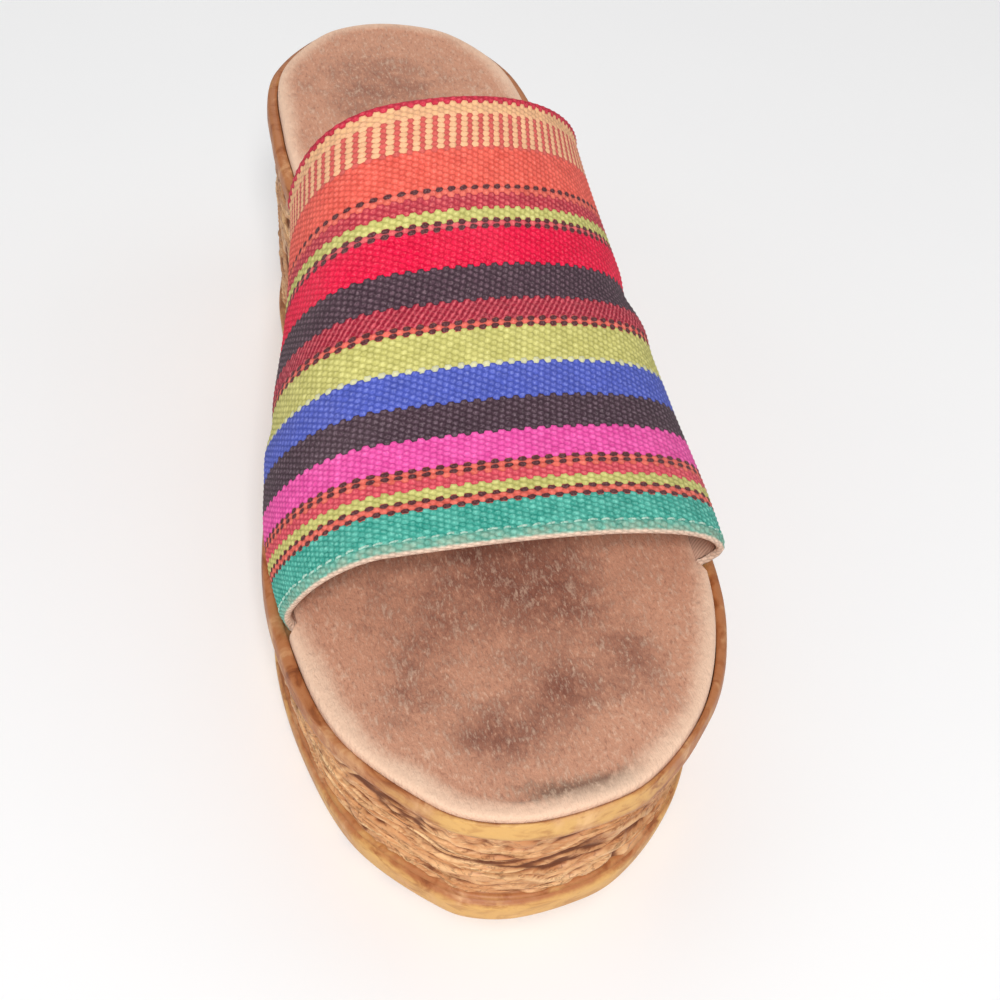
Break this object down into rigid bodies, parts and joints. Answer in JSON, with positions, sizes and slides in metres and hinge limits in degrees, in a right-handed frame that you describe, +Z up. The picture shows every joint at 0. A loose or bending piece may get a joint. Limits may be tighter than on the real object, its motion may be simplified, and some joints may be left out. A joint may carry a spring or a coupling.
{
  "type": "platform sandal",
  "caption": "Left platform mule sandal: a wedge sole with a carved side band, a suede insole and one wide striped woven band, open at toe and heel.",
  "frame": {"origin": "middle of the shoe's footprint box, on the floor", "axes": "+X to the wearer's outer (left) side, +Y from toe to heel, +Z up"},
  "size_m": [0.0982, 0.256, 0.1094],
  "materials": {
    "sole": "moulded unit sole, smooth gold-tan rims with brown stain, carved bark band between them",
    "insole": "pinkish brown suede with a pale rolled edge",
    "woven_band": "chunky ribbed weave in cross stripes, with a stitched front hem"
  },
  "bodies": {
    "root": {"sole": "sole", "insole": "insole", "upper": "woven_band"}
  },
  "joints": []
}
